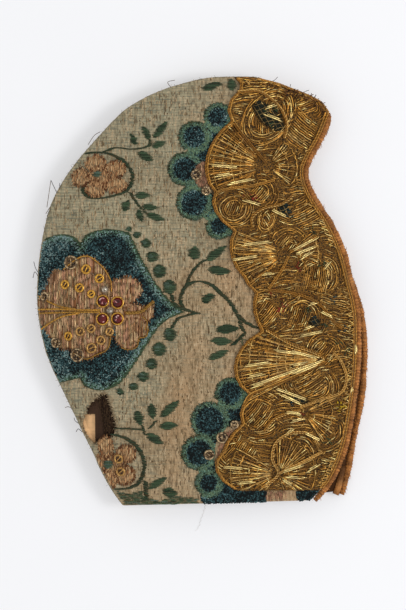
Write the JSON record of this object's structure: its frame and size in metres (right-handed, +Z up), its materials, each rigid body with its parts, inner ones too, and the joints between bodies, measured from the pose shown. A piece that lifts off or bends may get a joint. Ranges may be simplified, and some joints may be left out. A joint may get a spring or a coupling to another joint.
{
  "type": "embroidered bonnet",
  "caption": "Folded brocaded silk bonnet lying on its side, sewn along crown and back, with wide gold lace, rolled silk binding, wire rings and red stones.",
  "frame": {"origin": "on the table under the middle of the lying bonnet's bounding box", "axes": "+X from the back seam towards the open front, +Y from the hem towards the crown, +Z up from the table through both panels"},
  "size_m": [0.1644, 0.2128, 0.0235],
  "materials": {
    "brocade": "brocaded silk with worn warp",
    "gold_lace": "tarnished gold metal thread",
    "silk_binding": "rolled silk cord",
    "interlining": "dark worn cloth",
    "stiffener": "aged card",
    "gold_wire": "tarnished gilt wire",
    "clear_glass": "clear glass with wire",
    "red_glass": "foiled red paste"
  },
  "bodies": {
    "root": {"side_panel_upper": "brocade", "side_panel_lower": "brocade", "gold_lace_upper": "gold_lace", "gold_lace_lower": "gold_lace", "front_binding_upper": "silk_binding", "front_binding_lower": "silk_binding", "interlining": "interlining", "stiffener": "stiffener", "gold_ring_1": "gold_wire", "gold_ring_2": "gold_wire", "gold_ring_3": "gold_wire", "gold_ring_4": "gold_wire", "gold_ring_5": "gold_wire", "gold_ring_6": "gold_wire", "gold_ring_7": "gold_wire", "gold_ring_8": "gold_wire", "gold_ring_9": "gold_wire", "gold_ring_10": "gold_wire", "gold_ring_11": "gold_wire", "gold_ring_12": "gold_wire", "gold_ring_13": "gold_wire", "glass_ring_1": "clear_glass", "glass_ring_2": "clear_glass", "glass_ring_3": "clear_glass", "glass_ring_4": "clear_glass", "glass_ring_5": "clear_glass", "glass_ring_6": "clear_glass", "glass_ring_7": "clear_glass", "glass_ring_8": "clear_glass", "glass_ring_9": "clear_glass", "stone_collet_1": "gold_wire", "stone_collet_2": "gold_wire", "stone_collet_3": "gold_wire", "stone_collet_4": "gold_wire", "red_stone_1": "red_glass", "red_stone_2": "red_glass", "red_stone_3": "red_glass", "red_stone_4": "red_glass", "clear_bead_1": "clear_glass", "clear_bead_2": "clear_glass"}
  },
  "joints": []
}
